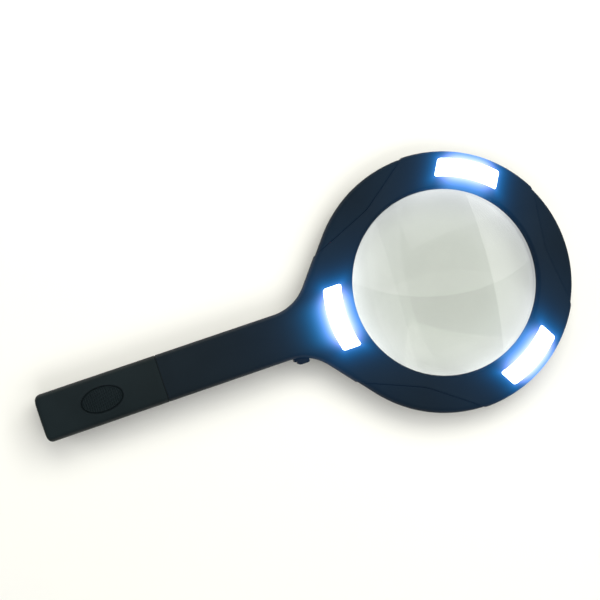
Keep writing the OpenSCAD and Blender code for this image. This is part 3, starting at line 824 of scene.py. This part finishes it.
# Oval thumb pad: its middle and half axes, the groove round it and the ribs inside it
PAD_X, PAD_A, PAD_B = BUTT_X + 31.1, 10.75, 6.5
PAD_GROOVE, PAD_GROOVE_HALF = 0.95, 0.5
RIB_DEPTH, RIB_PITCH = 0.42, 1.1
PAD_REACH, PAD_STEP = 11.2, 0.145    # half length with close rings, and how far apart they are
BUTT_ROUND = 2.3


def section(x, s):
    """Points round the handle's section at x, inset by s."""
    w = HALF_HANDLE - s
    scale = w / HALF_HANDLE
    y = np.array(TOP_Y) * scale
    top = HANDLE_T - s - PART_Z - CROWN * (y / w) ** 2
    upper = PART_Z + top * edge((w - np.abs(y)) / HANDLE_FRONT_BAND, FRONT_POWER)
    low_y = np.array(LOW_Y) * scale
    lower = PART_Z - (PART_Z - s) * edge((w - np.abs(low_y)) / HANDLE_BACK_BAND, BACK_POWER)
    y = np.concatenate([y, low_y])
    return np.column_stack([np.full(len(y), x), y, np.concatenate([upper, lower])])


def pad_drop(x, y):
    """Depth of the thumb pad's oval groove and of the ribs inside it."""
    u = x - PAD_X
    e = np.hypot(u / PAD_A, y / PAD_B) + 1e-9
    out = (e - 1) * e / np.hypot(u / PAD_A ** 2, y / PAD_B ** 2)
    groove = PAD_GROOVE * smooth(1 - np.abs(out + PAD_GROOVE_HALF) / PAD_GROOVE_HALF)
    wave = (0.5 - 0.5 * np.cos(2 * math.pi * u / RIB_PITCH)) ** 0.8
    return groove + RIB_DEPTH * wave * smooth((-out - 1.1) / 0.3)


def padded_section(x):
    """Section of the cover's outside at x, cut by the thumb pad on its top."""
    ring = section(x, 0)
    up = ring[:, 2] > PART_Z + 6
    ring[up, 2] -= pad_drop(ring[up, 0], ring[up, 1])
    return ring


def make_cover():
    """Sleeve with a rounded closed end, open at the seam."""
    open_x = SEAM_X - SEAM_GAP
    rings = [section(BUTT_X, BUTT_ROUND + 2.5)]
    for a in np.linspace(0, math.pi / 2, 9):
        rings.append(section(BUTT_X + BUTT_ROUND * (1 - math.cos(a)), BUTT_ROUND * (1 - math.sin(a))))
    before = np.linspace(BUTT_X + BUTT_ROUND, PAD_X - PAD_REACH, 14)[1:-1]
    over_pad = np.arange(PAD_X - PAD_REACH, PAD_X + PAD_REACH, PAD_STEP)
    after = np.linspace(PAD_X + PAD_REACH, open_x - 0.3, 16)
    rings += [padded_section(x) for x in (*before, *over_pad, *after)]
    rings += [section(open_x - 0.22, 0.08), section(open_x, 0.38)]
    rings += [section(open_x, WALL - 0.15), section(open_x - 0.15, WALL)]
    rings += [section(x, WALL) for x in np.linspace(open_x - 1, BUTT_X + 2.6, 24)]
    rings += [section(BUTT_X + 1.9, WALL + 0.6), section(BUTT_X + 1.8, WALL + 3)]
    piece("battery_sleeve", [loft(rings)], "cover", ["battery_cover"], cover_plastic_with_painted_light)


make_cover()


# ---------------------------------------------------------------- slide knob
def bevelled(obj, width):
    """Rounds an object's sharp edges in its mesh."""
    mod = obj.modifiers.new("round", "BEVEL")
    mod.width = width * MM
    mod.segments = 3
    mod.limit_method = "ANGLE"
    mod.angle_limit = math.radians(30)
    baked = bpy.data.meshes.new_from_object(obj.evaluated_get(bpy.context.evaluated_depsgraph_get()))
    obj.modifiers.clear()
    obj.data = baked
    baked.shade_smooth()
    baked.set_sharp_from_angle(angle=math.radians(40))


def prism(ring, z0, z1):
    """Upright solid over a closed outline."""
    return loft([[(x, y, z0) for x, y in ring], [(x, y, z1) for x, y in ring]])


def cuboid(low, high):
    """Box between two corners."""
    (x0, y0, z0), (x1, y1, z1) = low, high
    return prism([(x0, y0), (x1, y0), (x1, y1), (x0, y1)], z0, z1)


def make_knob():
    """Stepped thumb piece with four ridges, its stem through the slot and a shield inside."""
    left, right = KNOB_MID - KNOB_HALF, KNOB_MID + KNOB_HALF
    base = POCKET_Y - 0.2
    thumb_half, stem_high, shield_half, shield_high = 3.5, 1.6, 6.0, 3.2
    dome = [(left + 1.5, -15.2), (KNOB_MID - 1.3, -15.8)]
    ridges = []
    for i in range(4):
        x = KNOB_MID - 0.9 + i * 0.95
        ridges += [(x - 0.2, -15.9), (x - 0.08, -15.62), (x + 0.08, -15.62), (x + 0.2, -15.95)]
    tail = [(right - 0.5, -15.8), (right, -15.4), (right, base)]
    profile = [(left, base), (left, -13.7), (left + 0.5, -14), (left + 1.25, -13.6), *dome, *ridges, *tail]
    thumb = prism(profile, PART_Z - thumb_half, PART_Z + thumb_half)
    stem = cuboid((KNOB_MID - STEM_HALF, base - 0.8, PART_Z - stem_high),
                  (KNOB_MID + STEM_HALF, SLOT_Y + 0.6, PART_Z + stem_high))
    shield = cuboid((KNOB_MID - shield_half, SLOT_Y + 0.2, PART_Z - shield_high),
                    (KNOB_MID + shield_half, SLOT_Y + 1.0, PART_Z + shield_high))
    solids = [thumb, stem, shield]
    knob = piece("slide_knob", solids, "slider", ["switch_knob"], knob_plastic)
    bevelled(knob, 0.16)


make_knob()


# ---------------------------------------------------------------- batteries and what holds them
def make_battery(index):
    """Cell with a crimped wrap, a plain band near its button end and bare metal ends."""
    node = f"battery_{index}"
    low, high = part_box(node)
    y, z = (low.y + high.y) / 2 / MM, (low.z + high.z) / 2 / MM
    turned_cell = index == 2
    bare_base, rolled_edge, band_length = 0.3, 1.0, 9.0
    length = (high.x - low.x) / MM
    start = (low.x - LENS_X) / MM
    r = (high.y - low.y) / 2 / MM
    base = [(0, 3.6), (0.25, 3.9), (0.25, 4.3), (0, 4.5), (0.05, r - 0.35), (0.35, r - 0.05), (0.7, r)]
    body = [(6.0, r), (20.0, r), (length - 4.6, r), (length - 2.2, r)]
    crimp = [(1.7, 0.12), (1.45, 0.12), (1.3, 0.02), (1.05, 0.2), (0.95, 0.8), (1.1, 1.2)]
    button = [(1.1, 2.6), (0.8, 2.2), (0.25, 1.95), (0, 1.7)]
    profile = [*base, *body, *[(length - back, r - drop) for back, drop in crimp]]
    profile += [(length - back, out) for back, out in button]

    def place(along, u, v):
        x = start + (length - along if turned_cell else along)
        return x, y + u, z + v

    cell = piece(f"cell_{index}", [lathe(profile, 72, place)], "handle", [node],
                 [battery_wrap, battery_band, nickel], crease=28)
    for face in cell.data.polygons:
        along = (face.center.x - LENS_X) / MM - start
        along = length - along if turned_cell else along
        out = math.hypot(face.center.y / MM - y, face.center.z / MM - z)
        if along < bare_base or out < r - rolled_edge:
            face.material_index = 2
        elif along > length - band_length:
            face.material_index = 1


for cell_index in (1, 2, 3):
    make_battery(cell_index)


def sweep(path, r):
    """Round tube along a path."""
    path = np.asarray(path, float)
    tangents = np.gradient(path, axis=0)
    tangents /= np.linalg.norm(tangents, axis=1)[:, None]
    side = np.cross(tangents, [1, 0, 0])
    side /= np.linalg.norm(side, axis=1)[:, None]
    up = np.cross(side, tangents)
    turns = np.linspace(0, 2 * math.pi, 12, endpoint=False)
    return loft([[p + r * (math.cos(a) * s + math.sin(a) * u) for a in turns]
                 for p, s, u in zip(path, side, up)])


def make_springs():
    """Conical coil at the flat end of each cell, pressed to its length in use."""
    low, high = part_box("contact_springs")
    wire_r, coil_turns, wide_r, narrow_r, lift_mm = 0.3, 3, 3.4, 2.0, 4.0
    tail, head = (low.x - LENS_X) / MM + wire_r, (high.x - LENS_X) / MM - wire_r
    coils = []
    for index in (1, 2, 3):
        cell_low, cell_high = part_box(f"battery_{index}")
        y, z = (cell_low.y + cell_high.y) / 2 / MM, (cell_low.z + cell_high.z) / 2 / MM
        start, lift = (head, -lift_mm) if index == 2 else (tail, lift_mm)
        t = np.linspace(0, 1, 150)
        a = 2 * math.pi * coil_turns * t
        r = mix(wide_r, narrow_r, t)
        x = start + lift * smooth(np.clip((t - 0.12) / 0.76, 0, 1))
        coils.append(sweep(np.stack([x, y + r * np.cos(a), z + r * np.sin(a)], -1), wire_r))
    piece("coil_springs", coils, "handle", ["contact_springs"], nickel)


make_springs()


def make_frame():
    """End plate and collar that the cover slides over, joined by two rails beside the cells."""
    low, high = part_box("battery_frame")
    tail, collar = (low.x - LENS_X) / MM, (high.x - LENS_X) / MM
    # The rails and the collar start just past the springs
    bay = (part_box("contact_springs")[1].x - LENS_X) / MM + 0.35
    rail_y, rail_half, rail_low, rail_high = 8.1, 0.9, 7.6, 10.4
    plate = loft([section(x, WALL + s) for x, s in ((tail, 0.7), (tail + 0.25, 0.5), (tail + 1.4, 0.5))])
    rails = [cuboid((tail + 0.5, side * rail_y - rail_half, rail_low),
                    (bay + 0.5, side * rail_y + rail_half, rail_high)) for side in (-1, 1)]
    outer = [(bay, 0.35), (bay + 0.2, 0.2), (collar, 0.2)]
    inner = [(collar, 1.3), (bay + 1.4, 1.3)]
    ring = loft([section(x, WALL + s) for x, s in outer + inner])
    solids = [plate, *rails, ring]
    piece("cell_frame", solids, "handle", ["battery_frame"], inner_plastic)


make_frame()


# ---------------------------------------------------------------- materials of the pieces kept from the CAD
KEPT = {
    "led_board_handle": board_white, "led_board_upper": board_white, "led_board_lower": board_white,
    "led_strip_handle": led_phosphor, "led_strip_upper": led_phosphor, "led_strip_lower": led_phosphor,
    "contact_plates": nickel, "circuit_board": board_green, "resistors": resistor_paint,
    "switch_body": nickel, "switch_lever": inner_plastic, "case_screws": screw_steel,
    "battery_wire_red": wire_red, "battery_wire_black": wire_black, "led_wire_red": wire_red,
    "led_wire_black": wire_black,
}
for node, look in KEPT.items():
    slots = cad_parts[node].data.materials
    slots.clear()
    slots.append(look)


# ---------------------------------------------------------------- stage, lights and camera
CAMERA_AT = Vector((LENS_X - 0.1386, 0.0123, 0.6053))
CAMERA_TARGET = Vector((LENS_X - 0.0715, 0.0150, 0.0))
CAMERA_ROLL = math.radians(18.83)    # turn of the picture, from upright along +Y towards +X
FOCAL_LENGTH, SENSOR_WIDTH = 71.166, 36.0
BACK = (CAMERA_AT - CAMERA_TARGET).normalized()
RIGHT = Vector((math.sin(CAMERA_ROLL), math.cos(CAMERA_ROLL), 0)).cross(BACK).normalized()
UP = BACK.cross(RIGHT)


def make_camera():
    data = bpy.data.cameras.new("camera")
    data.sensor_width = SENSOR_WIDTH
    data.lens = FOCAL_LENGTH
    data.clip_start = 0.01
    cam = bpy.data.objects.new("camera", data)
    bpy.context.scene.collection.objects.link(cam)
    turn = Matrix((RIGHT, UP, BACK)).transposed().to_4x4()
    cam.matrix_world = Matrix.Translation(CAMERA_AT) @ turn
    bpy.context.scene.camera = cam


def area_light(name, at, turn, size, power, colour, shape="RECTANGLE"):
    data = bpy.data.lights.new(name, "AREA")
    data.shape = shape
    data.size, data.size_y = size
    data.energy = power
    data.color = colour
    light = bpy.data.objects.new(name, data)
    bpy.context.scene.collection.objects.link(light)
    light.matrix_world = Matrix.Translation(at) @ turn.to_4x4()
    return light


def softbox(name, toward, height, size, power, colour):
    """Soft light that points at the object and isn't seen in its reflections."""
    at = Vector((toward.x, toward.y, height))
    turn = (-at).to_track_quat("-Z", "Y").to_matrix()
    area_light(name, at, turn, size, power, colour).visible_glossy = False


def overhead_panel(name, shape, at, turn, size, power):
    """Level light panel, seen as a faint shape in the polished face of the lens."""
    level_turn = Matrix.Rotation(math.radians(turn), 3, "Z")
    area_light(name, Vector(at), level_turn, size, power, (1.0, 1.0, 0.98), shape)


def make_floor():
    n, half = 48, 9.0
    xs = np.linspace(-half, half, n)
    verts = [(x, y, 0.0) for y in xs for x in xs]
    corners = [j * n + i for j in range(n - 1) for i in range(n - 1)]
    faces = [(a, a + 1, a + n + 1, a + n) for a in corners]
    mesh = bpy.data.meshes.new("floor")
    mesh.from_pydata(verts, [], faces)
    floor = bpy.data.objects.new("floor", mesh)
    bpy.context.scene.collection.objects.link(floor)
    mesh.materials.append(material("floor_paper", (0.86, 0.86, 0.83), 0.8, variation=0.01, tone_scale=3,
                                   grain_scale=900, grain=0.05, specular=0.2))


make_camera()
make_floor()
softbox("back_softbox", UP * 0.62 + RIGHT * 0.1, 0.85, (1.0, 0.5), 4.6, (1.0, 0.975, 0.87))
softbox("front_softbox", UP * -0.5 + RIGHT * 0.2, 0.9, (0.9, 0.5), 3.2, (1.0, 1.0, 0.98))
softbox("left_softbox", RIGHT * -0.95, 0.6, (0.6, 0.5), 3.0, (1.0, 0.99, 0.95))
overhead_panel("upper_panel", "ELLIPSE", (LENS_X + 0.40, 0.45, 0.90), 0, (1.5, 1.1), 6.1)
overhead_panel("right_panel", "RECTANGLE", (LENS_X + 0.652, 0.0, 0.91), -5.3, (0.4, 1.4), 4.0)
overhead_panel("left_panel", "RECTANGLE", (LENS_X - 0.171, 0.0, 0.92), -2.9, (0.3, 1.4), 1.1)
world = bpy.data.worlds.new("studio")
bpy.context.scene.world = world
world.use_nodes = True
world.node_tree.nodes["Background"].inputs["Color"].default_value = (1.0, 1.0, 0.98, 1)
world.node_tree.nodes["Background"].inputs["Strength"].default_value = 0.12
bpy.context.scene.view_settings.view_transform = "Standard"
